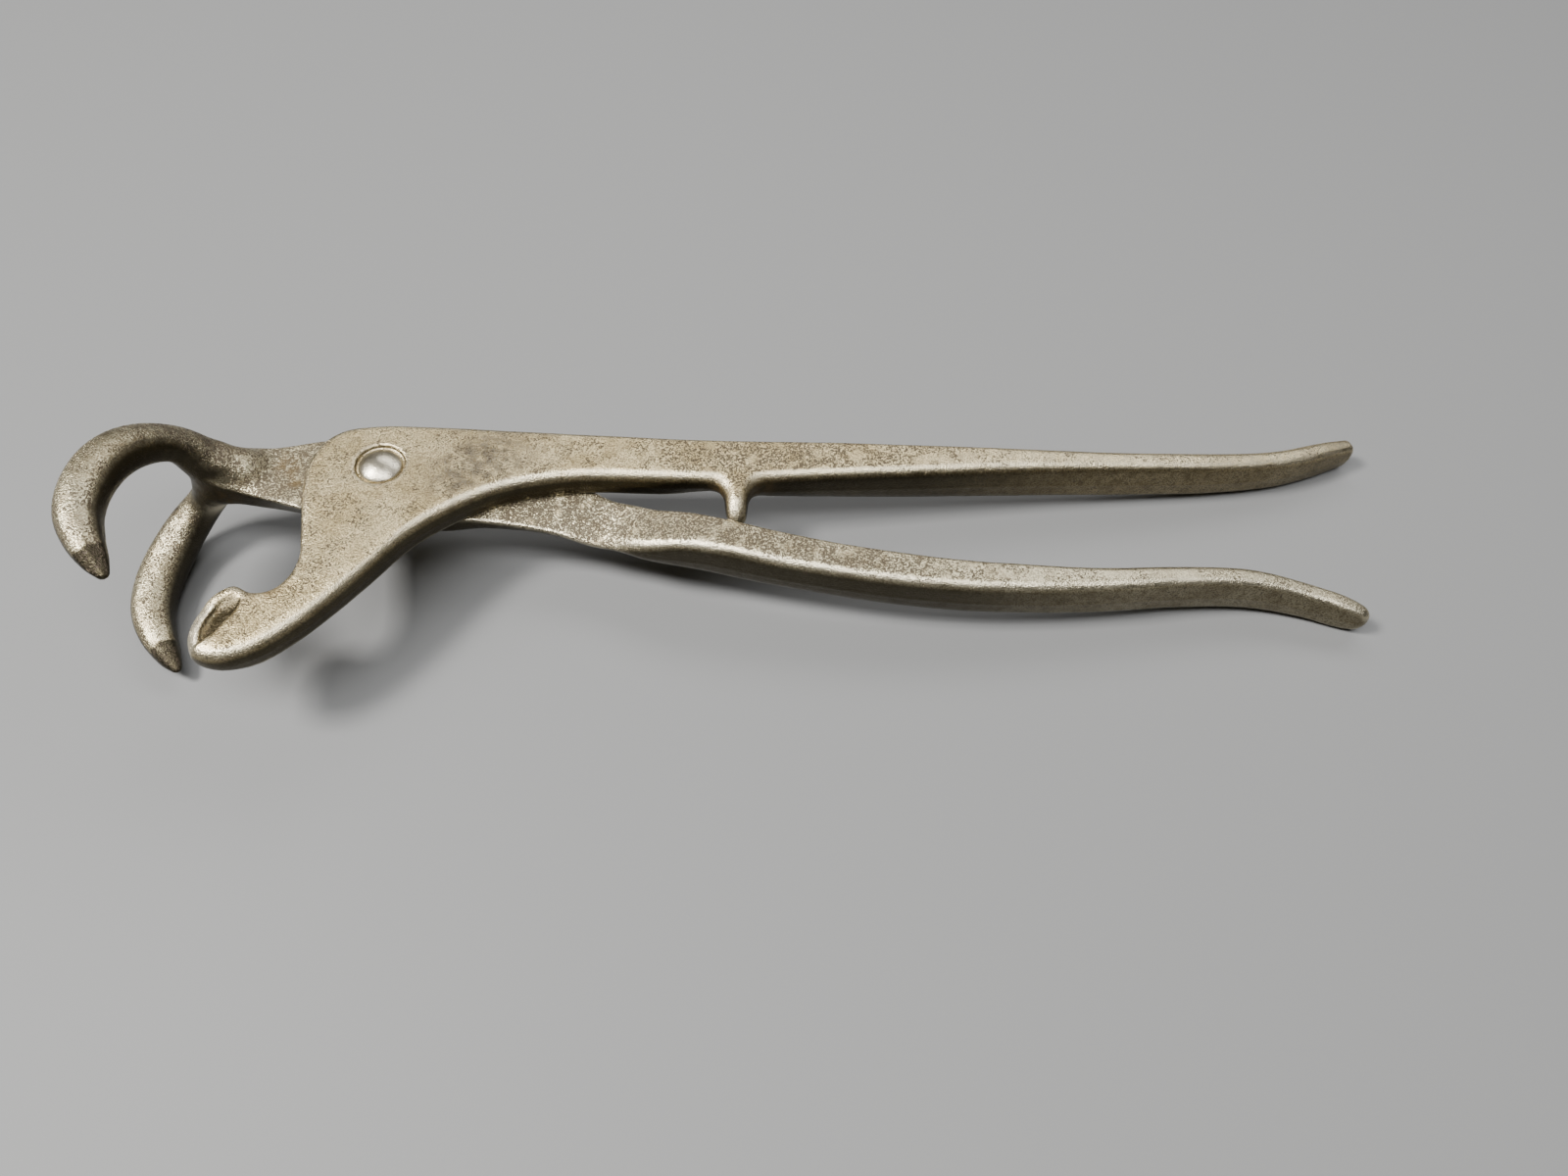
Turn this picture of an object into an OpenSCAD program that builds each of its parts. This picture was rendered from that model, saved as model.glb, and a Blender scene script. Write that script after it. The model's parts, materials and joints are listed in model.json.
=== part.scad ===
// Forked gripping pliers: two drop-forged levers lapped over each other and held by one rivet.
// The thumb lever carries a flat plate, a blunt nose and a stop stub; the fork lever carries a
// blade, a web and two hooked tines.  The pliers lie on a table, on the lower tine and on both
// handle ends, with the handles along +X, the back of the thumb lever towards +Y and +Z up.
// Every outline below is drawn in the tool's own plane: origin on the rivet's axis, z = 0 at the
// lap where the two levers slide on each other.  lay_down() turns it into the resting attitude.

/* [Levers] */
// Thickness of the thumb lever's plate above the lap
plate_t = 7.3; // [6:0.1:8]
// Thickness of the fork lever's blade and web below the lap
blade_t = 5.6; // [5:0.1:6.2]
// Gap between the sliding faces of the two levers
lap_gap = 0.1; // [0.04:0.02:0.3]
// Distance from the rivet's axis to the straight near edge of the blade
blade_edge = 10.3; // [9.5:0.1:11]
// Gap left between the stop stub and the fork lever
stop_gap = 0.15; // [0.05:0.05:0.4]

/* [Nose] */
// Height of the narrow land along the nose's edge
land_h = 3.6; // [2:0.2:5]
// How far the ground bevels run back from the land
bevel_run = 7; // [4:0.5:9]

/* [Rivet] */
// Diameter of the rivet's shank
shank_d = 6.35; // [5:0.05:7]
// Diameter of both rivet heads
head_d = 10.5; // [9.5:0.1:11]
// Rise of each head above its own seat
head_rise = 2; // [1.4:0.1:2.6]
// Diameter of the recess around each head
recess_d = 11.3; // [11.2:0.1:12.4]
// Depth of that recess
recess_h = 1; // [0.6:0.1:1.4]
// Radial clearance of the shank in the fork lever
run_gap = 0.05; // [0.02:0.01:0.1]
// Axial clearance under the lower head
end_gap = 0.06; // [0.04:0.01:0.15]

/* [Stop stub] */
// Where the stub stands along the thumb lever's handle
stub_x = 83.6; // [82:0.2:88]
// Width of the stub's tip
stub_tip_w = 4; // [3:0.2:6]
// Width of the stub where it leaves the handle
stub_root_w = 9; // [7:0.5:11]
// Height of the stub
stub_h = 6.4; // [4:0.2:8]

/* [Fork] */
// Half of the distance between the tines' centre lines where they are widest
tine_spread = 19.8; // [18:0.1:20]
// Largest diameter of a tine
tine_d = 10.1; // [9:0.1:11]

/* [Resting attitude] */
// Tilt of the tool's plane, head end up
rest_tilt = 3.95; // [3.9:0.01:4]
// Height of the lap plane over the table, at the rivet's axis
rest_height = 20.93; // [20.5:0.01:21.5]
// Place of the rivet's axis along the pliers
axis_x = -91; // [-92:0.1:-90]
// Place of the rivet's axis across the pliers
axis_y = 14.1; // [13:0.1:15]

/* [Hidden] */

forged = [0.66, 0.62, 0.52];
polished = [0.66, 0.66, 0.64];
curve_steps = 4;
bar_steps = 2;
corner_steps = 3;
tine_sides = 14;
tine_twist = [0.6, 0, 0.8];
bore_fn = 64;
over = 1;

// Plate of the thumb lever: back edge, round corner, throat, bump, nose, and the long S-shaped edge
plate_outline = [
    [70, 12.3], [50, 12.3], [26, 12.4], [8, 12.5], [-3, 12], [-10.8, 9.8], [-15.2, 4.8], [-16.7, -2.2],
    [-15.8, -11], [-13.8, -21.2], [-12.9, -27], [-13.9, -31.8], [-16.8, -35.4], [-20.6, -36.2],
    [-24.6, -34.6], [-28.2, -37], [-30.8, -41.6], [-31.6, -47], [-30, -51.6], [-25.7, -53.5],
    [-18.7, -51.6], [-10.4, -45], [-4.8, -38.6], [2.2, -29.4], [10.1, -18.6], [18.4, -11.5],
    [27.4, -6.1], [36.6, -3], [47, -1.1], [60, -0.6], [70, -0.4], [80, 2.5], [83, 6.5], [80, 10.5]];

// Web and blade of the fork lever: far edge from the crotch to the handle, then the near edge back
blade_outline = [
    [-40, 5.4], [-30.6, 9.2], [-23.8, 10.9], [-18.5, 12.4], [-10, 13.8], [0, 14], [11, 12.4],
    [23, 8.8], [35, 4.6], [46, 0.4], [55, -3.2], [62, -6.4], [68, -9], [71, -13.6], [68, -17.6],
    [58.2, -15.8], [50, -13.8], [41.5, -11.6], [33, -blade_edge], [14, -blade_edge],
    [-3, -blade_edge], [-11, -10], [-18.6, -8.6], [-26, -6.5], [-33.5, -4.4], [-40, -1.6]];

// Handles, one row per station: x, y, width, underside, top
thumb_bar = [
    [64, 6, 12.4, 0.5, 7.2], [76, 6.2, 12.6, 0, 7.1], [88, 6.9, 12.2, -2.8, 7], [104, 8.2, 11.2, -4.4, 6.9],
    [130, 9.8, 9.4, -5.6, 6.9], [151, 11, 7.8, -6, 6.9], [172, 11.9, 6.7, -6, 6.8],
    [192, 12.9, 6.3, -5.9, 6.6], [208, 14.1, 6, -5.6, 6.2], [224, 16.6, 5.7, -5.1, 5.7],
    [237, 20.9, 5.3, -4.6, 5], [243.6, 23.2, 4.3, -3.5, 4]];
fork_bar = [
    [50, -8, 9, -5.5, -0.6], [57, -10.2, 9.8, -5.7, 0.5], [64, -12.2, 10.2, -6, 2.8],
    [71, -13.6, 10.4, -6.2, 5.2], [79, -14.9, 10.3, -6.2, 6.2], [96, -18.5, 9.8, -6.1, 6.1],
    [120, -22.1, 9.3, -6.2, 6.2], [136, -23.5, 8.8, -6.3, 6.3], [151, -23.8, 8.2, -6.3, 6.3],
    [172, -23.1, 6.9, -6.3, 6.3], [192, -21.3, 6.1, -6.1, 6.2], [208, -21.2, 5.6, -5.6, 5.7],
    [221, -23.7, 5.2, -5.1, 4.5], [230.6, -27, 4.6, -4.7, 3.7], [234.6, -28.7, 3.4, -3.4, 2.7]];

// Centre line of the upper tine, from the crotch to the tip: x, y, z and diameter, the last two
// as shares of tine_spread and tine_d
tine_line = [
    [-34, 2.2, 0.02, 0.62], [-37, 1.8, 0.1, 0.74], [-41, 1.2, 0.25, 0.86], [-46, -0.4, 0.55, 0.81],
    [-50.9, -5, 0.78, 0.92], [-54.3, -11.8, 0.93, 1], [-55.6, -19.6, 0.99, 1], [-54.7, -26.6, 1, 0.93],
    [-51.8, -32.5, 0.99, 0.78], [-47.8, -37.8, 0.98, 0.54], [-44.6, -41.4, 0.97, 0.28]];

plate_bottom = lap_gap / 2;
blade_top = -lap_gap / 2;
seat_top = plate_t - recess_h;
seat_bottom = recess_h - blade_t;
bump = [-24.6, -34.6];
nose_end = [-31.6, -47];
land_mid_z = plate_t / 2;

// Smooth curves through rows of numbers, with chord-weighted tangents
function tangent(a, b, c) = let (u = norm(b - a), v = norm(c - b)) ((b - a) * v / u + (c - b) * u / v) / (u + v);
function hermite(a, b, ta, tb, t) = let (d = norm(b - a))
    a * (2 * t * t * t - 3 * t * t + 1) + ta * d * (t * t * t - 2 * t * t + t)
    + b * (3 * t * t - 2 * t * t * t) + tb * d * (t * t * t - t * t);
function heading(p, i) = i == 0 ? (p[1] - p[0]) / norm(p[1] - p[0])
    : i == len(p) - 1 ? (p[i] - p[i - 1]) / norm(p[i] - p[i - 1]) : tangent(p[i - 1], p[i], p[i + 1]);
function open_curve(p, n) = [
    for (i = [0:len(p) - 2], k = [0:n - 1]) hermite(p[i], p[i + 1], heading(p, i), heading(p, i + 1), k / n),
    p[len(p) - 1]];
function ring_at(p, i) = p[(i + len(p)) % len(p)];
function closed_curve(p, n) = [
    for (i = [0:len(p) - 1], k = [0:n - 1])
        hermite(p[i], ring_at(p, i + 1), tangent(ring_at(p, i - 1), p[i], ring_at(p, i + 1)),
            tangent(p[i], ring_at(p, i + 1), ring_at(p, i + 2)), k / n)];

// Rounded rectangle of width w and height h, as [across, up] pairs
function bar_section(w, h) = let (r = min(0.34 * w, 0.26 * h))
    [for (c = [0:3], k = [0:corner_steps])
        let (a = 90 * c + 90 * k / corner_steps, sx = c == 0 || c == 3 ? 1 : -1, sy = c < 2 ? 1 : -1)
        [sx * (w / 2 - r) + r * cos(a), sy * (h / 2 - r) + r * sin(a)]];
function bar_ring(s, d) = let (across = [-d[1], d[0]] / norm([d[0], d[1]]))
    [for (q = bar_section(s[2], s[4] - s[3]))
        [s[0] + across[0] * q[0], s[1] + across[1] * q[0], (s[3] + s[4]) / 2 + q[1]]];
function tine_ring(s, d) = let (c = [s[0], s[1], s[2]], t = [d[0], d[1], d[2]],
        u = cross(t, tine_twist) / norm(cross(t, tine_twist)), v = cross(t, u) / norm(t))
    [for (k = [0:tine_sides - 1]) let (a = 360 * k / tine_sides)
        c + s[3] / 2 * (cos(a) * u + sin(a) * v)];

// Closed skin over a row of rings that each have m points
module skin(rings) {
    m = len(rings[0]);
    last = m * (len(rings) - 1);
    side = [for (i = [0:len(rings) - 2], k = [0:m - 1])
        [m * i + k, m * i + (k + 1) % m, m * (i + 1) + (k + 1) % m, m * (i + 1) + k]];
    triangles = [for (q = side) each [[q[0], q[2], q[1]], [q[0], q[3], q[2]]]];
    polyhedron([for (r = rings) each r],
        concat([[for (k = [0:m - 1]) k]], triangles, [[for (k = [m - 1:-1:0]) last + k]]));
}

module bar(stations) {
    rows = open_curve(stations, bar_steps);
    skin([for (i = [0:len(rows) - 1]) bar_ring(rows[i], heading(rows, i))]);
}

module tine() {
    rows = open_curve([for (s = tine_line) [s[0], s[1], s[2] * tine_spread, s[3] * tine_d]], bar_steps);
    skin([for (i = [0:len(rows) - 1]) tine_ring(rows[i], heading(rows, i))]);
}

// Wedge ground off one side of the nose, from the land back to the flat face at height z
module nose_bevel(z, up) {
    along = nose_end - bump;
    depth = up * (z - land_mid_z) - land_h / 2;
    length = 3 * norm(along);
    translate([bump[0], bump[1], z]) rotate([0, 0, atan2(along[1], along[0])])
        translate([-norm(along), 0, 0]) rotate([90, 0, 90])
            linear_extrude(length) polygon([[-over * 3, -up * depth], [0, -up * depth],
                [bevel_run, 0], [bevel_run, up * over], [-over * 3, up * over]]);
}

// Row of the fork lever's far wall at the stop stub: [x, y] and its direction
function far_wall(x) = let (rows = open_curve(fork_bar, 8),
        k = [for (i = [0:len(rows) - 2]) if (rows[i][0] <= x && rows[i + 1][0] > x) i][0],
        t = (x - rows[k][0]) / (rows[k + 1][0] - rows[k][0]), s = rows[k] * (1 - t) + rows[k + 1] * t,
        d = rows[k + 1] - rows[k], across = [-d[1], d[0]] / norm([d[0], d[1]]))
    [[s[0], s[1]] + across * s[2] / 2, across];

module stop_stub() {
    wall = far_wall(stub_x);
    tip = wall[0] + wall[1] * stop_gap;
    side = [wall[1][1], -wall[1][0]];
    root_y = thumb_bar[2][1];
    linear_extrude(stub_h, center = true)
        polygon([tip - side * stub_tip_w / 2, tip + side * stub_tip_w / 2,
            [stub_x + stub_root_w / 2, root_y - 4], [stub_x + stub_root_w / 2, root_y],
            [stub_x - stub_root_w / 2, root_y], [stub_x - stub_root_w / 2, root_y - 6]]);
}

module lay_down() {
    translate([axis_x, axis_y, rest_height]) rotate([0, rest_tilt, 0]) children();
}

module thumb_lever() {
    color(forged) lay_down() difference() {
        union() {
            translate([0, 0, plate_bottom]) linear_extrude(plate_t - plate_bottom)
                polygon(closed_curve(plate_outline, curve_steps));
            bar(thumb_bar);
            stop_stub();
        }
        nose_bevel(plate_t, 1);
        nose_bevel(plate_bottom, -1);
        translate([0, 0, -over]) cylinder(h = plate_t + 2 * over, d = shank_d, $fn = bore_fn);
        translate([0, 0, seat_top]) cylinder(h = recess_h + over, d = recess_d, $fn = bore_fn);
    }
}

module fork_lever() {
    color(forged) lay_down() difference() {
        union() {
            translate([0, 0, -blade_t]) linear_extrude(blade_t + blade_top)
                polygon(closed_curve(blade_outline, curve_steps));
            bar(fork_bar);
            tine();
            mirror([0, 0, 1]) tine();
        }
        translate([0, 0, -blade_t - over])
            cylinder(h = blade_t + 2 * over, d = shank_d + 2 * run_gap, $fn = bore_fn);
        translate([0, 0, -blade_t - over]) cylinder(h = recess_h + over, d = recess_d, $fn = bore_fn);
    }
}

// Arc of a rivet head's dome, from its rim to its crown
function dome(z, up) = let (r = head_d / 2, k = (r * r + head_rise * head_rise) / (2 * head_rise),
        a = asin(r / k))
    [for (i = [0:8]) let (t = a * (1 - i / 8)) [k * sin(t), z + up * (head_rise - k + k * cos(t))]];

module pivot_rivet() {
    low = seat_bottom - end_gap;
    lower = dome(low, -1);
    color(polished) lay_down() rotate_extrude($fn = bore_fn)
        polygon(concat([for (i = [8:-1:0]) lower[i]], [[shank_d / 2, low], [shank_d / 2, seat_top]],
            dome(seat_top, 1)));
}

thumb_lever();
fork_lever();
pivot_rivet();
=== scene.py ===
import json
import math

import bpy
import numpy as np
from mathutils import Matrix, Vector


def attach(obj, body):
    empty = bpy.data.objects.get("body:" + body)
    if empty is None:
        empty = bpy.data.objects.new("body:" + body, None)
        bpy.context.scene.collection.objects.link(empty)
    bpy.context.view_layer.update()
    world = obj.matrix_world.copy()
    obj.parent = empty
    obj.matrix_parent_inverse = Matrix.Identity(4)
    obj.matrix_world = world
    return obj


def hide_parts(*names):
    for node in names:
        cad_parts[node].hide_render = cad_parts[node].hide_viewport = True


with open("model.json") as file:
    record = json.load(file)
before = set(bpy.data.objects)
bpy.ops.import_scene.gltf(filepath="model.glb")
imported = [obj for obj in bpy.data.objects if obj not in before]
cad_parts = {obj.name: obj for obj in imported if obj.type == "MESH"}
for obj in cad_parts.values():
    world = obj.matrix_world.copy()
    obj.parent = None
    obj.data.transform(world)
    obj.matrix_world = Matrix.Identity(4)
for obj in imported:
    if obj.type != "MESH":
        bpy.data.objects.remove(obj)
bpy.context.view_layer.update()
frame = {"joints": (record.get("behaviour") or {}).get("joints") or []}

# Fork-jaw pliers.  Both forged levers and the rivet are carved here as fields of distance in the
# tool's own frame, in millimetres: origin on the rivet's axis, z = 0 at the lap, x along the handles.
MM = 0.001
PIVOT = next(joint for joint in frame["joints"] if joint["name"] == "fork_pivot")
TOOL_Z = Vector(PIVOT["axis"]).normalized()
TOOL_Y = Vector((0, 1, 0))
TOOL_X = TOOL_Y.cross(TOOL_Z)
TOOL_ORIGIN = Vector(PIVOT["pos_m"])

STEP = 0.45  # spacing of the field's samples
SLAB = 24  # samples along x that are worked out at a time
FAR = 99.0  # starting value for the least distance to a tine

PLATE_TOP = 7.3
BLADE_BOTTOM = -5.6
LAP = 0.05
SHANK_R = 3.175
BORE_R = 3.225
RECESS_R = 5.65
RECESS_DEPTH = 1.0
HEAD_R = 5.45
HEAD_RISE = 2.0
COS_45 = 0.707
HEAD_GAP = 0.06  # between the rivet's lower head and the fork lever
HEAD_OVERLAP = 0.8  # how far the shank reaches into each head
TINE_SPREAD = 19.8
TINE_D = 10.1
TINE_SLIM = 0.965  # share of TINE_D that the finished tines keep
DRAFT = 0.09  # slope of the forged walls away from the parting line
PARTING = 1.2  # half height of the upright band at the parting line
FLASH_RISE = 0.13
FLASH_HALF = 0.5
SQUARE = 2.5  # power that squares up a tine's section: 2 is round
STUB_X = 83.9  # middle of the stop stub
STUB_HALF = 3.2  # half its width at the root
STUB_ROOT = 8.0  # y inside the handle where it starts
STUB_TIP = -10.7  # y of its end
STUB_FALL_FROM = 0.5  # y where its roof starts to fall
STUB_FILLET = 4.5
SADDLE_X = -42.2  # the web's rounded end between the tines
SADDLE_Y = 1.4
SADDLE_R = 2.6
SADDLE_HALF = 3.5

CAMERA_PLACE = (95.3, -169.1, 214.1)  # from the rivet
CAMERA_PITCH = 57  # degrees below the horizontal
LENS = 26
SENSOR_WIDTH = 36

PLATE_OUTLINE = [
    (104, 13.8), (88, 13), (70, 12.3), (50, 12.3), (26, 12.4), (8, 12.5), (-3, 12), (-10.8, 9.8),
    (-15.2, 4.8), (-16.7, -2.2),
    (-15.8, -11), (-13.8, -21.2), (-12.9, -27), (-13.9, -31.8), (-16.8, -35.4), (-20.6, -36.2),
    (-24.6, -34.6), (-28.2, -37), (-30.8, -41.6), (-31.6, -47), (-30, -51.6), (-25.7, -53.4),
    (-18.7, -51.6), (-10.4, -45), (-4.8, -38.6), (2.2, -29.4), (10.1, -18.6), (18.4, -11.5),
    (27.4, -6.1), (36.6, -3), (47, -1.1), (60, -0.6), (70, -0.4), (88, 0.8), (104, 2.6)]
BLADE_OUTLINE = [
    (-40, 5.4), (-30.6, 9.2), (-23.8, 10.9), (-18.5, 12.4), (-10, 13.8), (0, 14), (11, 12.4),
    (23, 8.8), (35, 5.4), (46, 2.6), (53, -1), (58, -3.3), (66, -6.5), (79, -9.7), (79, -20.1),
    (68, -17.8),
    (58.2, -15.8), (50, -13.8), (41.5, -11.6), (33, -10.3), (14, -10.3),
    (-3, -10.3), (-11, -10), (-18.6, -8.6), (-26, -6.5), (-33.5, -4.4), (-40, -1.6)]
NEAR_FIRST, NEAR_LAST = 14, 20  # the outline's rows along the blade's near edge
# Handles, one row per station: x, y, width, underside, top
THUMB_BAR = [
    (64, 6, 12.4, 0.5, 7.2), (76, 6.2, 12.6, 0, 7.1), (88, 6.9, 12.2, -2.8, 7), (104, 8.2, 11.2, -4.4, 6.9),
    (130, 9.8, 9.4, -5.6, 6.9), (151, 11, 7.8, -6, 6.9), (172, 11.9, 6.7, -6, 6.8),
    (192, 12.9, 6.3, -5.9, 6.6), (208, 14.1, 6, -5.6, 6.2), (224, 16.6, 5.7, -5.1, 5.7),
    (237, 20.9, 5.3, -4.6, 5), (243.6, 23.2, 4.3, -3.5, 4)]
FORK_BAR = [
    (50, -7.2, 11.8, -5.5, -0.3), (57, -9.3, 12, -5.7, 1), (64, -11.9, 11.4, -6, 3.1),
    (71, -13.3, 10.9, -6.2, 5.1), (79, -14.9, 10.3, -6.2, 6.1), (96, -18.5, 9.8, -6.1, 6.1),
    (120, -22.1, 9.3, -6.2, 6.2), (136, -23.5, 8.8, -6.3, 6.3), (151, -23.8, 8.2, -6.3, 6.3),
    (172, -23.1, 6.9, -6.3, 6.3), (192, -21.3, 6.1, -6.1, 6.2), (208, -21.2, 5.6, -5.6, 5.7),
    (221, -23.7, 5.2, -5.1, 4.5), (230.6, -27, 4.6, -4.7, 3.7), (234.6, -28.7, 3.4, -3.4, 2.7)]
# Upper tine from the crotch to the tip: x, y, then z and diameter as shares of TINE_SPREAD and TINE_D
TINE_LINE = [
    (-34, 2.2, 0.02, 0.62), (-37, 1.9, 0.1, 0.74), (-41, 1.6, 0.25, 0.86), (-46, 0.3, 0.55, 0.81),
    (-50.7, -4.3, 0.78, 0.92), (-53.9, -11.4, 0.93, 1), (-55, -19.6, 0.99, 1), (-54.1, -26.6, 1, 0.94),
    (-51.4, -32.5, 1, 0.81), (-47.6, -37.8, 1.01, 0.57), (-44.6, -41.4, 1.02, 0.28)]
# Where the blade's top starts to fall away towards its worn near edge
SHELF_LINE = [
    (18.4, -11.5), (27.4, -6.1), (36.6, -3), (47, -1.1), (53, -1.4), (58, -3.4), (66, -6.6), (79, -9.7)]
# Where the hollow ground into the nose meets the plate's flat top
HOLLOW_LINE = [
    (-20.6, -34), (-21.6, -38.3), (-22.4, -42.1), (-23.9, -44.6), (-25, -46.9), (-27.6, -49.6), (-30, -52.5)]


# ---- Curves and distances -------------------------------------------------------------------

def curve(points, steps, closed=False):
    """Smooth curve through rows of numbers, with chord-weighted tangents."""
    p = np.asarray(points, float)
    after = np.roll(p, -1, 0) - p
    long = np.linalg.norm(after, axis=1)[:, None]
    ahead = after / long
    behind, before = np.roll(ahead, 1, 0), np.roll(long, 1, 0)
    tangent = (behind * long + ahead * before) / (long + before)
    if not closed:
        tangent[0], tangent[-1] = ahead[0], behind[-1]
    t = (np.arange(steps) / steps)[None, :, None]
    a, b = p[:, None], np.roll(p, -1, 0)[:, None]
    ta, tb = (tangent * long)[:, None], (np.roll(tangent, -1, 0) * long)[:, None]
    rows = (a * (2 * t ** 3 - 3 * t ** 2 + 1) + ta * (t ** 3 - 2 * t ** 2 + t)
            + b * (3 * t ** 2 - 2 * t ** 3) + tb * (t ** 3 - t ** 2))
    if closed:
        return rows.reshape(-1, p.shape[1])
    return np.vstack([rows[:-1].reshape(-1, p.shape[1]), p[-1:]])


def nearest(x, y, line):
    """Distance from each point to a plan line, the place along it, and the way there."""
    shape = np.broadcast(x, y).shape
    best, place = np.full(shape, 1e9), np.zeros(shape)
    way_x, way_y = np.zeros(shape), np.zeros(shape)
    for i in range(len(line) - 1):
        ax, ay = line[i][:2]
        ex, ey = line[i + 1][0] - ax, line[i + 1][1] - ay
        t = np.clip(((x - ax) * ex + (y - ay) * ey) / (ex * ex + ey * ey), 0, 1)
        dx, dy = x - ax - t * ex, y - ay - t * ey
        d = dx * dx + dy * dy
        closer = d < best
        best = np.where(closer, d, best)
        place = np.where(closer, i + t, place)
        way_x, way_y = np.where(closer, dx, way_x), np.where(closer, dy, way_y)
    return np.sqrt(best), place, way_x, way_y


def within(x, y, outline):
    """True for the points inside a closed plan outline."""
    odd = np.zeros(np.broadcast(x, y).shape, bool)
    for (ax, ay), (bx, by) in zip(outline, np.roll(outline, -1, 0)):
        crosses = (ay > y) != (by > y)
        odd ^= crosses & (x < (bx - ax) * (y - ay) / (by - ay + 1e-12) + ax)
    return odd


def plan_edge(x, y, outline):
    """Signed distance to an outline, negative inside, and the outward direction at its nearest point."""
    gap, _, way_x, way_y = nearest(x, y, np.vstack([outline, outline[:1]]))
    sign = np.where(within(x, y, outline), -1.0, 1.0)
    size = np.maximum(gap, 1e-6)
    return gap * sign, way_x / size * sign, way_y / size * sign


def smooth_max(a, b, k):
    """The larger of two distances, blended where they differ by less than k."""
    h = np.clip((k - np.abs(a - b)) / k, 0, 1)
    return np.maximum(a, b) + h * h * k / 4


def smooth_min(a, b, k):
    """The smaller of two distances, blended in the same way."""
    return -smooth_max(-a, -b, k)


def ramp(value, start, end):
    """0 at start, 1 at end, smooth between. Limits for x, y and z are places in the tool's frame."""
    t = np.clip((value - start) / (end - start), 0, 1)
    return t * t * (3 - 2 * t)


def lump(x, y, z, centre, size):
    """1 at centre, fading to nothing over about size millimetres."""
    cx, cy, cz = centre
    return np.exp(-((x - cx) ** 2 + (y - cy) ** 2 + (z - cz) ** 2) / (size * size))


TABLE = 64  # samples along each side of a noise table, which repeats
NOISE_SHIFT = 1000.37  # keeps the tables' grid off the origin


def noise(x, y, z, size, seed):
    """Smooth noise from -1 to 1 with features of about size millimetres."""
    table = np.random.default_rng(seed).uniform(-1, 1, (TABLE, TABLE, TABLE)).astype(np.float32)
    total = 0
    whole, part = [], []
    for axis in (x, y, z):
        scaled = np.asarray(axis) / size + NOISE_SHIFT
        floor = np.floor(scaled).astype(int)
        f = scaled - floor
        whole.append(floor)
        part.append(f * f * (3 - 2 * f))
    for i in (0, 1):
        for j in (0, 1):
            for k in (0, 1):
                weight = ((part[0] if i else 1 - part[0]) * (part[1] if j else 1 - part[1])
                          * (part[2] if k else 1 - part[2]))
                at = ((whole[0] + i) % TABLE, (whole[1] + j) % TABLE, (whole[2] + k) % TABLE)
                total = total + weight * table[at]
    return total


# ---- The levers' shapes ---------------------------------------------------------------------

PLATE = curve(PLATE_OUTLINE, 4, closed=True)
HOLLOW = curve(HOLLOW_LINE, 4)
SHELF = np.array(SHELF_LINE)
BLADE = curve(BLADE_OUTLINE, 4, closed=True)
NEAR_EDGE = np.array(BLADE_OUTLINE[NEAR_LAST:NEAR_FIRST - 1:-1])
THUMB = curve(THUMB_BAR, 4)
FORK = curve(FORK_BAR, 4)
TINE = curve([(x, y, z * TINE_SPREAD, d * TINE_D * TINE_SLIM) for x, y, z, d in TINE_LINE], 5)


def with_run_out(rows):
    """The rows of a handle, with one more station straight past its end."""
    return np.vstack([rows, rows[-1] + (rows[-1] - rows[-2]) * 6])


def bar(x, y, z, rows, near_round, end_round, chamfer, peg=None, sink=0):
    """A forged handle: flat top, drafted walls with a flash line, an end cut square, one corner off it."""
    long = with_run_out(rows)
    long[-1, 2:] = rows[-1, 2:]
    gap, place, _, way_y = nearest(x, y, long)
    width, low, high = (np.interp(place, np.arange(len(long)), long[:, k]) for k in (2, 3, 4))
    middle = (low + high) / 2
    near = ramp(-way_y, -0.6, 0.6)
    wall = gap - width / 2
    if peg is not None:
        wall = smooth_min(wall, peg, STUB_FILLET)
    wall = wall + draft(z - middle) - flash(z - middle + 0.3) * near
    far_round = 1.3 + ramp(x, 120, 190)
    top_round = np.minimum(far_round + near * (near_round - far_round), 0.4 * width)
    d = smooth_max(smooth_max(wall, z - high + sink, top_round), low + 0.03 - z, 0.4 * width)
    head = (rows[-1] - rows[-2])[:2]
    head = head / np.linalg.norm(head)
    beyond = (x - rows[-1, 0]) * head[0] + (y - rows[-1, 1]) * head[1] - 0.35
    d = smooth_max(d, beyond + 0.07 * np.abs(z - middle), end_round)
    across = (y - rows[-1, 1]) * head[0] - (x - rows[-1, 0]) * head[1]
    return smooth_max(d, (beyond + across) * COS_45 - chamfer, 0.5)


def draft(z):
    """How far a forged wall leans in at a height above or below the parting line."""
    return DRAFT * np.maximum(np.abs(z) - PARTING, 0)


def flash(z):
    """The line of trimmed flash that runs along a forged wall."""
    return FLASH_RISE * np.exp(-(z / FLASH_HALF) ** 2)


def stub(x, y):
    """Plan distance to the stop stub, and how far its roof has fallen below the handle's top."""
    share = np.clip((STUB_FALL_FROM - y) / (STUB_FALL_FROM - STUB_TIP), 0, 1)
    side = np.abs(x - STUB_X) - (STUB_HALF - 1.0 * share)
    plan = smooth_max(side, np.maximum(STUB_TIP - y, y - STUB_ROOT), 3.4)
    return plan, 0.9 * share + 3.4 * share ** 3


def nose_zone(x, y, edge):
    """How far a point lies in front of the nose's hollow line, and behind the land at its edge."""
    gap, _, way_x, way_y = nearest(x, y, HOLLOW)
    across = np.where(way_x * 0.95 - way_y * 0.3 < 0, gap, -gap)
    return across, -edge - 2.0 - 0.7 * ramp(-y, 36.5, 41)


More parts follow.
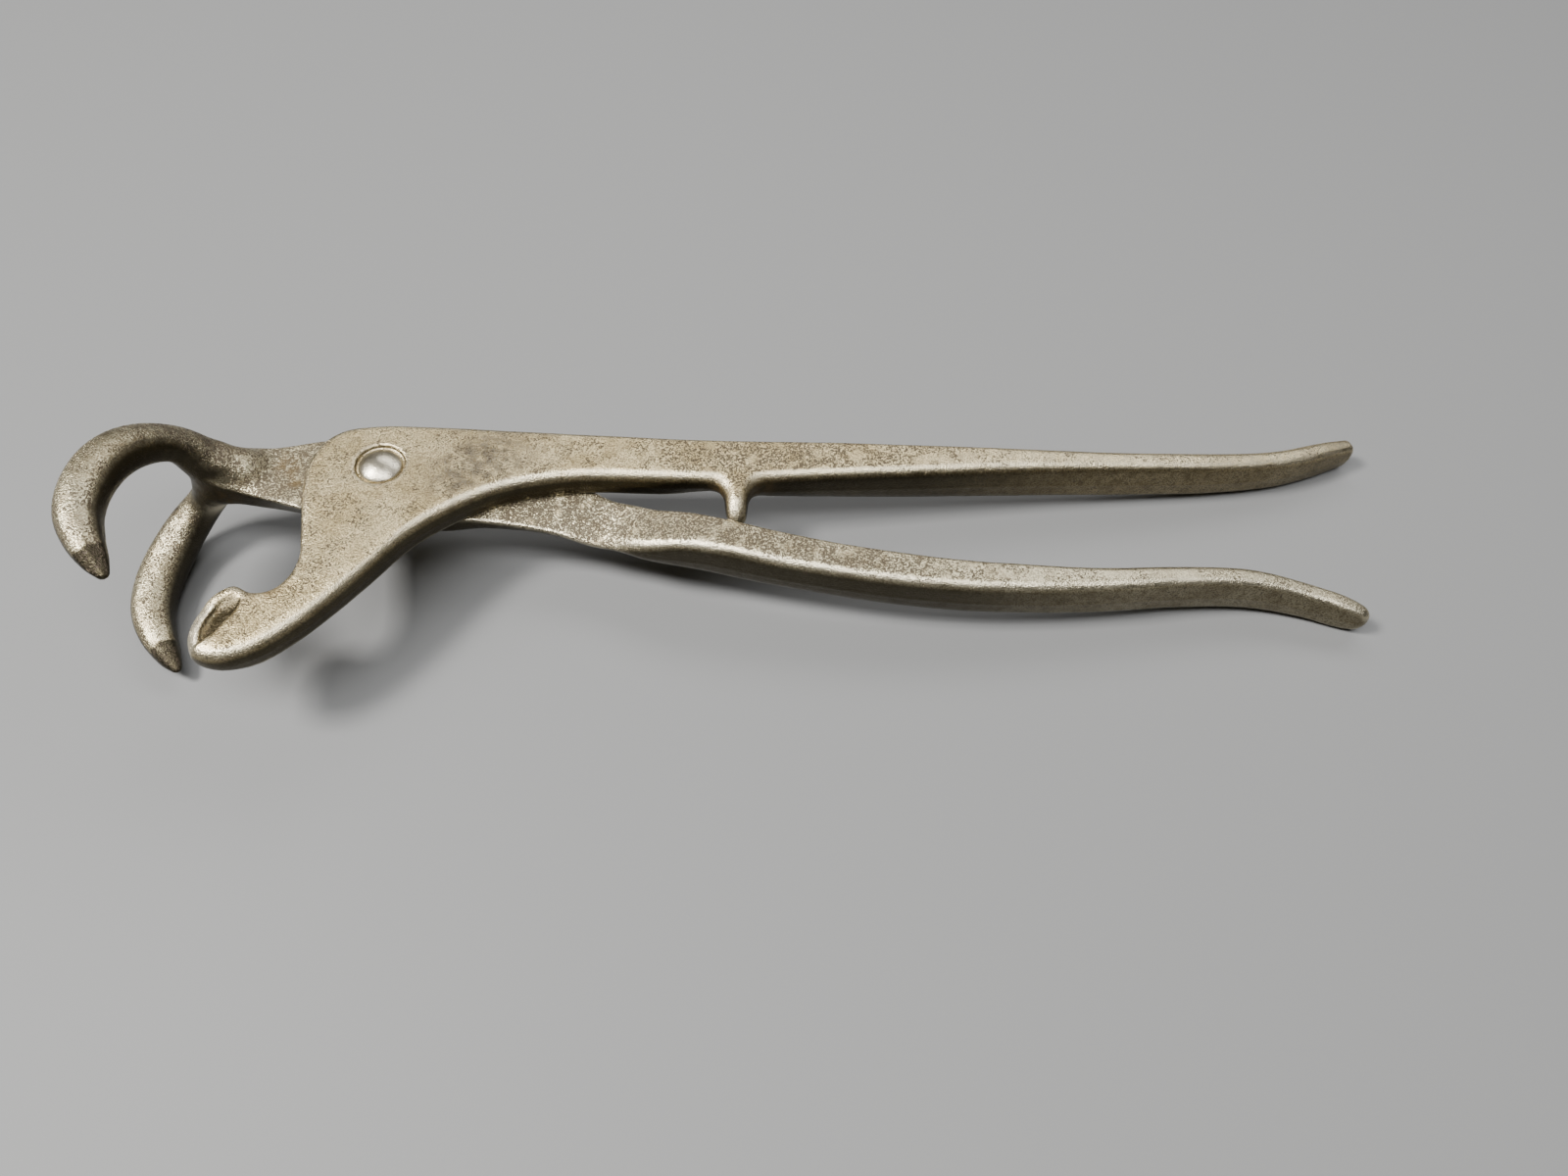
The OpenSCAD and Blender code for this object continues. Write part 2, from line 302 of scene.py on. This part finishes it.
def nose_cut(x, y, edge):
    """Depth of the grinding on each side of the nose: a hollow, then a land that falls to the edge."""
    across, inward = nose_zone(x, y, edge)
    share = np.clip(across / np.maximum(across + inward, 0.1), 0, 1)
    hollow = 1.7 * np.minimum(share * 1.2, 1) ** 0.8
    slope = 0.6 + np.maximum(-inward, 0) * 0.3 * ramp(-y, 36.5, 41)
    depth = hollow + (slope - hollow) * ramp(-inward, -0.6, 0.2)
    return depth * ramp(across, 0, 0.9) * ramp(-y, 36, 42) * (1 - ramp(-y, 49, 52.5)) * ramp(-x, 16, 19)


def thumb_lever(x, y, z):
    """Plate, nose, stop stub and handle. The tests on x skip what a slab doesn't reach."""
    edge, _, way_y = plan_edge(x, y, PLATE)
    near = ramp(-way_y, 0.1, 0.7)
    nose = ramp(-x, 16, 28) * ramp(-y, 44, 50)
    middle = PLATE_TOP / 2
    peg, sink, cut = None, 0, 0
    if x.max() > 70 and x.min() < 97:
        peg, sink = stub(x, y)
    if x.min() < -8:
        cut = nose_cut(x, y, edge)
    wall = edge if peg is None else smooth_min(edge, peg, STUB_FILLET)
    wall = wall + draft(z - middle) - flash(z - middle + 0.4) * near * (1 - nose)
    top_round = 1.3 + 2.1 * near + 0.6 * nose
    d = smooth_max(wall, z - PLATE_TOP + cut + sink, top_round)
    d = smooth_max(d, LAP - z + cut, 0.5 + 3 * nose)
    if x.max() > 62:
        blend = ramp(x, 64, 84)
        d = d * (1 - blend) + bar(x, y, z, THUMB, 3.2, 0.9, 1.4, peg, sink) * blend
    if x.min() < 8:
        radius = np.hypot(x, y)
        seat = smooth_max(radius - RECESS_R, PLATE_TOP - RECESS_DEPTH - z, 0.4)
        d = smooth_max(d, -seat, 0.3)
        d = np.maximum(d, SHANK_R - radius)
    return d


def tine(x, y, z, rows, up):
    """One hooked tine of squarish section, with two facets that meet in a ridge at its tip."""
    d = np.full(np.broadcast(x, y, z).shape, FAR)
    for a, b in zip(rows[:-1], rows[1:]):
        e = (b - a)[:3]
        long = np.linalg.norm(e)
        t = e / long
        rise = np.array([0, 0, 1]) - t[2] * t
        rise = rise / np.linalg.norm(rise)
        side = np.cross(t, rise)
        qx, qy, qz = x - a[0], y - a[1], up * z - a[2]
        share = np.clip((qx * t[0] + qy * t[1] + qz * t[2]) / long, 0, 1)
        along = np.abs(qx * t[0] + qy * t[1] + qz * t[2] - share * long)
        lift = np.abs(qx * rise[0] + qy * rise[1] + qz * rise[2])
        lean = np.abs(qx * side[0] + qy * side[1] + qz * side[2])
        gap = (along ** SQUARE + lift ** SQUARE + lean ** SQUARE) ** (1 / SQUARE)
        d = np.minimum(d, gap - (a[3] + share * (b[3] - a[3])) / 2)
    tip, forward = rows[-1][:3], (rows[-1] - rows[-4])[:3]
    forward = forward / np.linalg.norm(forward)
    side = np.array([-forward[1], forward[0], 0])
    for lean in (-0.5, 0.5):
        normal = 0.38 * forward + np.array([0, 0, 0.9]) + lean * side
        normal = normal / np.linalg.norm(normal)
        point = tip + forward * 1.6
        cut = (x - point[0]) * normal[0] + (y - point[1]) * normal[1] + (up * z - point[2]) * normal[2]
        d = smooth_max(d, cut, 0.4)
    return d


def fork_lever(x, y, z):
    """Blade with its worn near edge, handle, both tines and the web between them."""
    edge, _, way_y = plan_edge(x, y, BLADE)
    near = ramp(-way_y, 0.1, 0.6)
    shelf = np.interp(x, SHELF[:, 0], SHELF[:, 1])
    wide = np.maximum(shelf - np.interp(x, NEAR_EDGE[:, 0], NEAR_EDGE[:, 1]), 0.1)
    drop = 0.21 * wide * np.clip((shelf - y) / wide, 0, 1) * ramp(x, 16, 28) * (1 - ramp(x, 50, 73))
    undercut = near * 0.35 * ramp(x, -33, -16) * (1 - ramp(x, -12, -2))
    wall = edge + undercut * np.maximum(-z, 0) + draft(z - BLADE_BOTTOM / 2)
    top_round = 0.7 + 0.5 * (1 - near)
    low_round = 1.6 + 2.8 * near * ramp(x, 14, 24) * (1 - ramp(x, 40, 55))
    d = smooth_max(smooth_max(wall, z + LAP + drop, top_round), BLADE_BOTTOM - z, low_round)
    if x.max() > 48:
        blend = ramp(x, 46, 60)
        handle = bar(x, y, z + drop, FORK, 3, 2.4, 9)
        handle = np.maximum(handle, bar(x, y, z, FORK, 3, 2.4, 9))
        d = d * (1 - blend) + handle * blend
    if x.min() < -20:
        upper, lower = tine(x, y, z, TINE, 1), tine(x, y, z, TINE, -1)
        saddle = np.hypot((x - SADDLE_X) * 0.8, y - SADDLE_Y) - SADDLE_R
        saddle = smooth_max(saddle, np.abs(z) - SADDLE_HALF, 2.0)
        crotch = smooth_min(smooth_min(upper, lower, 6.0), saddle, 5.0)
        d = smooth_min(d, crotch, 4.6)
    if x.min() < 8:
        radius = np.hypot(x, y)
        seat = smooth_max(radius - RECESS_R, z - BLADE_BOTTOM - RECESS_DEPTH, 0.4)
        d = smooth_max(d, -seat, 0.5)
        d = np.maximum(d, BORE_R - radius)
    return d


def rivet(x, y, z):
    """Shank and two domed heads, each seated in its recess."""
    radius = np.hypot(x, y)
    ball = (HEAD_R ** 2 + HEAD_RISE ** 2) / (2 * HEAD_RISE)
    seat_top, seat_low = PLATE_TOP - RECESS_DEPTH, BLADE_BOTTOM + RECESS_DEPTH - HEAD_GAP
    shank = smooth_max(radius - SHANK_R, np.maximum(z - seat_top, seat_low - z) - HEAD_OVERLAP, 0.3)
    upper = np.sqrt(radius ** 2 + (z - seat_top - HEAD_RISE + ball) ** 2) - ball
    lower = np.sqrt(radius ** 2 + (z - seat_low + HEAD_RISE - ball) ** 2) - ball
    d = np.minimum(shank, smooth_max(upper, seat_top - z, 0.5))
    return np.minimum(d, smooth_max(lower, z - seat_low, 0.5))


# ---- Meshes from fields ---------------------------------------------------------------------

def sample(shape, low, high, step):
    """The field's values on a grid over a box, worked out slab by slab."""
    axes = [np.arange(a, b + step, step) for a, b in zip(low, high)]
    field = np.empty([len(a) for a in axes], np.float32)
    y, z = axes[1][None, :, None], axes[2][None, None, :]
    for start in range(0, len(axes[0]), SLAB):
        x = axes[0][start:start + SLAB][:, None, None]
        field[start:start + SLAB] = shape(x, y, z)
    return field


def surface_net(field):
    """Vertices, in samples, and quads of the field's zero surface."""
    inside = field < 0
    corners = [(i, j, k) for i in (0, 1) for j in (0, 1) for k in (0, 1)]
    size = [n - 1 for n in field.shape]
    count = np.zeros(size, np.int8)
    for i, j, k in corners:
        count += inside[i:i + size[0], j:j + size[1], k:k + size[2]]
    cells = np.argwhere((count > 0) & (count < 8))
    number = np.full(size, -1, np.int64)
    number[tuple(cells.T)] = np.arange(len(cells))
    place, hits = np.zeros((len(cells), 3)), np.zeros((len(cells), 1))
    for a in corners:
        for axis in range(3):
            if a[axis]:
                continue
            b = tuple(v + (n == axis) for n, v in enumerate(a))
            fa, fb = field[tuple((cells + a).T)], field[tuple((cells + b).T)]
            crosses = ((fa < 0) != (fb < 0))[:, None]
            t = (fa / np.where(fa == fb, 1, fa - fb))[:, None]
            place += np.where(crosses, np.array(a) + t * (np.array(b) - np.array(a)), 0)
            hits += crosses
    quads = []
    for axis in range(3):
        head, tail = [slice(None)] * 3, [slice(None)] * 3
        head[axis], tail[axis] = slice(None, -1), slice(1, None)
        edges = np.argwhere(inside[tuple(head)] != inside[tuple(tail)])
        outward = inside[tuple(edges.T)]
        side_a, side_b = np.eye(3, dtype=int)[(axis + 1) % 3], np.eye(3, dtype=int)[(axis + 2) % 3]
        quad = np.stack([number[tuple((edges - p * side_a - q * side_b).T)]
                         for p, q in ((1, 1), (0, 1), (0, 0), (1, 0))], 1)
        quads.append(np.where(outward[:, None], quad, quad[:, ::-1]))
    return cells + place / hits, np.vstack(quads)


def probe(field, p):
    """The field's value between its samples."""
    whole = np.clip(np.floor(p).astype(int), 0, np.array(field.shape) - 2)
    f = p - whole
    total = 0
    for i in (0, 1):
        for j in (0, 1):
            for k in (0, 1):
                weight = ((f[:, 0] if i else 1 - f[:, 0]) * (f[:, 1] if j else 1 - f[:, 1])
                          * (f[:, 2] if k else 1 - f[:, 2]))
                total = total + weight * field[whole[:, 0] + i, whole[:, 1] + j, whole[:, 2] + k]
    return total


def slopes(field, p):
    """Unit outward direction of the field at each point."""
    g = np.stack([probe(field, p + e) - probe(field, p - e) for e in np.eye(3) * 0.6], 1)
    return g / np.maximum(np.linalg.norm(g, axis=1), 1e-9)[:, None]


def carve(shape, low, high, step):
    """Vertices in millimetres, their outward directions, and quads of a shape."""
    field = sample(shape, low, high, step)
    points, quads = surface_net(field)
    for _ in range(3):
        outward = slopes(field, points)
        points = points - outward * (probe(field, points) / step)[:, None]
    return np.array(low) + points * step, outward, quads


def curvature(points, outward, quads, rounds):
    """How much each vertex stands proud of its neighbours: positive on edges, negative in hollows."""
    a, b = quads.ravel(), np.roll(quads, -1, 1).ravel()
    count = np.maximum(np.bincount(a, minlength=len(points)) + np.bincount(b, minlength=len(points)), 1)

    def around(values):
        return (np.bincount(a, values[b], len(points)) + np.bincount(b, values[a], len(points))) / count

    mean = np.stack([around(points[:, k]) for k in range(3)], 1)
    bend = ((points - mean) * outward).sum(1)
    for _ in range(rounds):
        bend = (bend + around(bend)) / 2
    return bend


def to_row(points):
    """Points in the tool's frame, in millimetres, as points of the scene in metres."""
    turn = np.array([TOOL_X, TOOL_Y, TOOL_Z])
    return points @ turn * MM + np.array(TOOL_ORIGIN)


def piece(name, points, quads, marks, wear_and_painted_light, body, material):
    """A mesh object that stands for the CAD node of this name, with its wear, painted shade and painted
    highlight stored on its vertices.
    """
    mesh = bpy.data.meshes.new(name + "_metal")
    mesh.from_pydata(to_row(points).tolist(), [], quads.tolist())
    mesh.shade_smooth()
    for label, values in (("marks", marks), ("wear_and_painted_light", wear_and_painted_light)):
        colours = np.ones((len(points), 4), np.float32)
        colours[:, :3] = np.clip(np.stack(values, 1), 0, 1)
        layer = mesh.attributes.new(label, "FLOAT_COLOR", "POINT")
        layer.data.foreach_set("color", colours.ravel())
    mesh.materials.append(material)
    obj = bpy.data.objects.new(name + "_metal", mesh)
    bpy.context.scene.collection.objects.link(obj)
    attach(obj, body)
    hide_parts(name)
    return obj


def sliding_faces(x, y, z):
    """1 where a surface must stay true: the lap, the bore and the recess of the rivet."""
    lap = np.exp(-(z / 0.35) ** 2) * ramp(-x, -74, -66) * ramp(x, -36, -30)
    return np.maximum(lap, 1 - ramp(np.hypot(x, y), RECESS_R + 0.2, RECESS_R + 1.2))


def hammered(points, outward, seed):
    """Points moved in and out a little, as a forging and its tumbling leave them."""
    x, y, z = points.T
    swell = (0.1 * noise(x, y, z, 13, seed) + 0.035 * noise(x, y, z, 5, seed + 1)
             + 0.018 * noise(x, y, z, 2.1, seed + 2))
    return points + outward * (swell * (1 - sliding_faces(x, y, z)))[:, None]


# ---- Materials ------------------------------------------------------------------------------

class Nodes:
    """A few short ways to make and join shader nodes."""

    def __init__(self, name):
        self.material = bpy.data.materials.new(name)
        self.material.use_nodes = True
        self.tree = self.material.node_tree
        self.tree.nodes.clear()

    def make(self, kind, **inputs):
        node = self.tree.nodes.new(kind)
        for key, value in inputs.items():
            self.put(node, key.replace("_", " "), value)
        return node

    def put(self, node, key, value):
        socket = node.inputs[key]
        if isinstance(value, bpy.types.NodeSocket):
            self.tree.links.new(value, socket)
        else:
            socket.default_value = value

    def maths(self, operation, a, b, clamp=False):
        node = self.tree.nodes.new("ShaderNodeMath")
        node.operation = operation
        node.use_clamp = clamp
        self.put(node, 0, a)
        self.put(node, 1, b)
        return node.outputs[0]

    def mix(self, factor, a, b):
        node = self.tree.nodes.new("ShaderNodeMix")
        node.data_type = "RGBA"
        self.put(node, 0, factor)
        self.put(node, 6, a)
        self.put(node, 7, b)
        return node.outputs[2]

    def grain(self, scale, detail, rough=0.55):
        where = self.make("ShaderNodeTexCoord").outputs["Object"]
        node = self.make("ShaderNodeTexNoise", Vector=where, Scale=scale, Detail=detail, Roughness=rough)
        return node.outputs["Fac"]

    def between(self, value, start, end):
        node = self.make("ShaderNodeMapRange", Value=value, From_Min=start, From_Max=end)
        node.interpolation_type = "SMOOTHSTEP"
        return node.outputs["Result"]

    def stored(self, label):
        node = self.tree.nodes.new("ShaderNodeAttribute")
        node.attribute_name = label
        split = self.make("ShaderNodeSeparateColor", Color=node.outputs["Color"])
        return split.outputs


def rgb(r, g, b):
    """A colour as shader sockets take it."""
    return (r, g, b, 1)


BROWN_STAIN = rgb(0.3, 0.23, 0.12)
CLOUD = rgb(0.2, 0.175, 0.13)
FRECKLE = rgb(0.2, 0.15, 0.08)
# Painted shade: dark colour laid on walls, undersides and the tines' flanks and tips; it also greys the
# nose's hollow.
PAINTED_SHADE = rgb(0.042, 0.036, 0.023)
# Pale colour of real polish and rubbing, also used for the painted highlight along the near top edges.
RUBBED_AND_HIGHLIGHT = rgb(0.92, 0.84, 0.64)
PIT = rgb(0.06, 0.043, 0.026)
RUST = rgb(0.13, 0.082, 0.026)


def worn_nickel(name, light, dull, grime):
    """Old nickel over forged steel: cloudy, pitted brown, polished on its edges, rusty in its corners, with
    painted shade on its walls and undersides and a painted highlight along its near top edges.
    """
    n = Nodes(name)
    edge, rust, polish_and_highlight = n.stored("marks")[:3]
    pits, side, cloud = n.stored("wear_and_painted_light")[:3]
    broad, middle, fine, salt = n.grain(90, 3), n.grain(420, 4), n.grain(1500, 3), n.grain(2600, 2)
    colour = n.mix(n.between(broad, 0.35, 0.68), light, dull)
    colour = n.mix(n.maths("MULTIPLY", n.between(middle, 0.45, 0.7), 0.55 * grime), colour, BROWN_STAIN)
    colour = n.mix(n.maths("MULTIPLY", cloud, n.between(middle, 0.2, 0.7)), colour, CLOUD)
    colour = n.mix(n.maths("MULTIPLY", n.between(salt, 0.46, 0.58), 0.7 * grime), colour, FRECKLE)
    # Painted shade on the walls, the undersides and the tines' flanks and tips, and darker grey in the
    # nose's hollow.
    colour = n.mix(n.maths("MULTIPLY", side, 0.96), colour, PAINTED_SHADE)
    denser = n.maths("MULTIPLY", pits, 0.13)
    dots = n.maths("MULTIPLY", n.maths("ADD", fine, salt), 0.5)
    speckle = n.between(n.maths("ADD", dots, denser), 0.575, 0.63)
    patch = n.between(n.maths("ADD", n.grain(230, 3), n.maths("MULTIPLY", pits, 0.2)), 0.52, 0.66)
    pitted = n.maths("MULTIPLY", n.maths("MULTIPLY", speckle, patch), grime, clamp=True)
    # Shine: real polish on edges and the nose's land, plus the painted highlight along the near top edges
    # and grip tops.
    shine = n.maths("MAXIMUM", n.maths("MULTIPLY", edge, n.between(middle, 0.25, 0.5)),
                    n.maths("MULTIPLY", polish_and_highlight, n.between(middle, 0.1, 0.55)))
    colour = n.mix(n.maths("MULTIPLY", shine, 0.85), colour, RUBBED_AND_HIGHLIGHT)
    colour = n.mix(n.maths("MULTIPLY", pitted, 0.85), colour, PIT)
    rusty = n.maths("MULTIPLY", rust, n.between(middle, 0.3, 0.62), clamp=True)
    colour = n.mix(rusty, colour, RUST)
    spoilt = n.maths("MAXIMUM", rusty, n.maths("MULTIPLY", pitted, 0.8))
    metal = n.maths("SUBTRACT", 1, n.maths("MULTIPLY", spoilt, 0.65), clamp=True)
    rough = n.maths("ADD", n.maths("MULTIPLY", middle, 0.24), 0.17 + 0.06 * grime)
    rough = n.maths("SUBTRACT", rough, n.maths("MULTIPLY", edge, 0.14))
    rough = n.maths("ADD", rough, n.maths("MULTIPLY", spoilt, 0.2), clamp=True)
    height = n.maths("SUBTRACT", n.maths("MULTIPLY", salt, -1.1), pitted)
    height = n.maths("ADD", height, n.maths("MULTIPLY", middle, 0.5))
    bump = n.make("ShaderNodeBump", Strength=0.5 * grime + 0.05, Distance=0.00025, Height=height)
    shader = n.make("ShaderNodeBsdfPrincipled", Base_Color=colour, Metallic=metal, Roughness=rough,
                    Normal=bump.outputs["Normal"])
    n.make("ShaderNodeOutputMaterial", Surface=shader.outputs["BSDF"])
    return n.material


# ---- The object -----------------------------------------------------------------------------

def shoulder(outward):
    """1 on the rounded top edges of the near side, where a painted highlight brightens the colour."""
    up = outward[:, 2]
    return ramp(up, 0.45, 0.7) * (1 - ramp(up, 0.93, 0.99)) * ramp(-outward[:, 1], 0.1, 0.35)


def grip_polish_and_sheen(x, outward):
    """Some polish on top of the grips, together with a painted highlight on their upward tops towards the
    ends.
    """
    return 0.4 * ramp(x, 100, 180) * ramp(outward[:, 2], 0.9, 0.98)


def nose_wear_and_painted_light(x, y, z, outward):
    """Bright, grey and pitted on the thumb lever: bright on the nose's ground land, with a painted highlight
    along the near top edges and on the grips; grey in the nose's hollow.
    """
    edge = plan_edge(x, y, PLATE)[0]
    across, inward = nose_zone(x, y, edge)
    here = ramp(z, 2.5, 3.5) * ramp(across, 0.1, 0.6) * ramp(-x, 18, 20)
    land = 1.4 * here * ramp(-inward, -0.1, 0.3) * ramp(-y, 38.5, 42)
    hollow = here * ramp(inward, 0, 0.4) * ramp(-y, 35, 37.5) * (1 - ramp(-y, 48, 52))
    # Painted highlight along the near rounded top edges.
    near_highlight = shoulder(outward)
    bright = np.maximum(land, 0.6 * near_highlight * (1 - here) + grip_polish_and_sheen(x, outward))
    pitted = 0.35 + 0.5 * ramp(x, 40, 90) - 0.6 * ramp(x, 100, 170)
    return bright, 0.85 * hollow, pitted * (1 - near_highlight)


def tine_wear_and_painted_light(x, y, z, outward):
    """Bright, grey and pitted on the fork lever: bright on the tines' crowns, with a painted highlight along
    the blade's near top edge and on the grip; grey as painted shade on the tines' flanks and tips.
    """
    tip_x, tip_y = TINE_LINE[-1][:2]
    to_tip = (x - tip_x) * 0.63 - (y - tip_y) * 0.77 + 0.7 * noise(x, y, z, 1.8, 5)
    up = np.abs(outward[:, 2])
    crown = 0.1 * ramp(up, 0.72, 0.86) * ramp(-y, 10, 24) * ramp(-to_tip, 6, 6.6) * ramp(-x, 40, 42)
    # Painted shade: the tines' steep flanks and their tip facets are darkened.
    flank = (1 - ramp(up, 0.2, 0.8)) * ramp(-x, 34, 40)
    tip = ramp(to_tip, -6.4, -5.8) * ramp(-x, 36, 40)
    pitted = 0.9 + 0.2 * ramp(x, -40, -25) - 0.75 * ramp(x, 90, 170)
    pitted = pitted - 0.5 * ramp(up, 0.75, 0.95) * ramp(-x, 40, 44)
    # Painted highlight along the blade's and handle's near rounded top edge.
    near_highlight = shoulder(outward) * (ramp(x, 14, 22) * (1 - ramp(x, 42, 47)) + ramp(x, 52, 60))
    bright = np.maximum(crown, 0.75 * near_highlight + grip_polish_and_sheen(x, outward))
    return bright, np.maximum(tip, 0.8 * flank), pitted * (1 - 0.8 * near_highlight)


def build_lever(name, shape, box, seed, body, material, wear_and_painted_light, rust_spots, shine_spots, cloud_spots):
    """Carve one lever inside its box and work out the wear, painted shade and painted highlight of each
    vertex. A spot is a centre and a size.
    """
    points, outward, quads = carve(shape, *box, STEP)
    points = hammered(points, outward, seed)
    x, y, z = points.T
    bend = curvature(points, outward, quads, round(2 / STEP ** 2)) / STEP ** 2
    edge = ramp(bend, 0.05, 0.2) * 0.6
    rust = ramp(-bend, 0.04, 0.18) * 0.5 + 0.8 * sum(lump(x, y, z, c, s) for c, s in rust_spots)
    bright, grey, pitted = wear_and_painted_light(x, y, z, outward)
    polish_and_highlight = sum(lump(x, y, z, c, s) for c, s in shine_spots) + bright
    cloud = sum(lump(x, y, z, c, s) for c, s in cloud_spots)
    edge = edge * (1 - grey)
    pits = 0.15 + 0.85 * pitted * ramp(outward[:, 2], 0.3, 0.9)
    # Painted shade: walls darkened, undersides less so, and less towards the grips' ends.
    side = 1 - ramp(outward[:, 2], 0.2, 0.7) - 0.6 * ramp(-outward[:, 2], 0.5, 0.9)
    side = side * (1 - 0.3 * ramp(x, 125, 185))
    pits_shade_cloud = (pits, np.maximum(side, grey), cloud)
    return piece(name, points, quads, (edge, rust, polish_and_highlight), pits_shade_cloud, body, material)


THUMB_BOX = ((-34, -56, -8), (247, 29, 10))
FORK_BOX = ((-63, -46, -28), (238, 17, 28))
RIVET_BOX = ((-6, -6, -9), (6, 6, 10))
golden = worn_nickel("worn_nickel_thumb", rgb(0.83, 0.7, 0.42), rgb(0.63, 0.51, 0.28), 1.0)
silvery = worn_nickel("worn_nickel_fork", rgb(0.81, 0.73, 0.5), rgb(0.62, 0.54, 0.35), 1.0)
build_lever("thumb_lever", thumb_lever, THUMB_BOX, 11, "thumb", golden, nose_wear_and_painted_light,
            [((79, -2, 4), 3.5), ((90, -1, 4), 3.5), ((-17, -35, 7), 3)],
            [],
            [((26, 4, 8), 11), ((17, -2, 8), 6), ((-22.5, -37, 6), 2.6), ((-25, -41, 5.5), 2.6)])
build_lever("fork_lever", fork_lever, FORK_BOX, 23, "fork", silvery, tine_wear_and_painted_light,
            [((-42, 0, -2.5), 3), ((-37, -3.5, -3), 2.6), ((-24, 4, 0), 3), ((-21, -1, 0), 1.6)],
            [((-41, -2, -9), 3)],
            [((-50, -2, 14), 13), ((-50, -2, -14), 13), ((-41, 3, 5), 8), ((-52, -30, 20), 7)])


def build_rivet():
    """The rivet, on a finer grid, with little wear."""
    points, outward, quads = carve(rivet, *RIVET_BOX, STEP * 0.6)
    zeros = np.zeros(len(points))
    material = worn_nickel("worn_nickel_rivet", rgb(0.66, 0.62, 0.52), rgb(0.52, 0.48, 0.39), 0.35)
    polish_and_highlight = 0.3 * ramp(np.abs(outward[:, 2]), 0.7, 0.98)
    return piece("pivot_rivet", points, quads, (zeros, zeros, polish_and_highlight), (zeros + 0.2, zeros, zeros),
                 "thumb", material)


build_rivet()


# ---- Floor, light and camera ----------------------------------------------------------------

def add_floor():
    """A plain pale floor, wide enough to fill the camera's view."""
    mesh = bpy.data.meshes.new("floor")
    half = 12.0
    corners = [(-half, -half, 0), (half, -half, 0), (half, half, 0), (-half, half, 0)]
    mesh.from_pydata(corners, [], [(0, 1, 2, 3)])
    n = Nodes("pale_floor")
    shader = n.make("ShaderNodeBsdfPrincipled", Base_Color=rgb(0.215, 0.217, 0.217), Roughness=0.6)
    n.make("ShaderNodeOutputMaterial", Surface=shader.outputs["BSDF"])
    mesh.materials.append(n.material)
    floor = bpy.data.objects.new("floor", mesh)
    bpy.context.scene.collection.objects.link(floor)


def add_softbox(name, place, wide, deep, power, tint=(1, 1, 1)):
    """A lamp of wide by deep metres that faces the pliers."""
    lamp = bpy.data.lights.new(name, "AREA")
    lamp.shape = "RECTANGLE"
    lamp.size = wide
    lamp.size_y = deep
    lamp.energy = power
    lamp.color = tint
    obj = bpy.data.objects.new(name, lamp)
    obj.location = place
    obj.rotation_euler = (-Vector(place)).to_track_quat("-Z", "Y").to_euler()
    bpy.context.scene.collection.objects.link(obj)


def add_camera():
    """The camera looks down at the pliers from its place in front of them."""
    camera = bpy.data.cameras.new("camera")
    camera.sensor_width = SENSOR_WIDTH
    camera.lens = LENS
    camera.clip_start = 0.01
    obj = bpy.data.objects.new("camera", camera)
    obj.location = TOOL_ORIGIN + Vector(CAMERA_PLACE) * MM
    obj.rotation_euler = (math.radians(90 - CAMERA_PITCH), 0, 0)
    bpy.context.scene.collection.objects.link(obj)
    bpy.context.scene.camera = obj


add_floor()
add_softbox("window", (-0.78, -0.05, 1.1), 0.3, 0.3, 24, (1, 0.98, 0.95))
add_softbox("ceiling", (-0.05, -0.3, 1.2), 1.3, 0.35, 16)
add_softbox("sky", (0.35, 0.95, 1.1), 1.9, 0.45, 12)
world = bpy.data.worlds.new("studio")
world.use_nodes = True
world.node_tree.nodes["Background"].inputs["Color"].default_value = rgb(0.5, 0.51, 0.52)
world.node_tree.nodes["Background"].inputs["Strength"].default_value = 0.045
bpy.context.scene.world = world
add_camera()
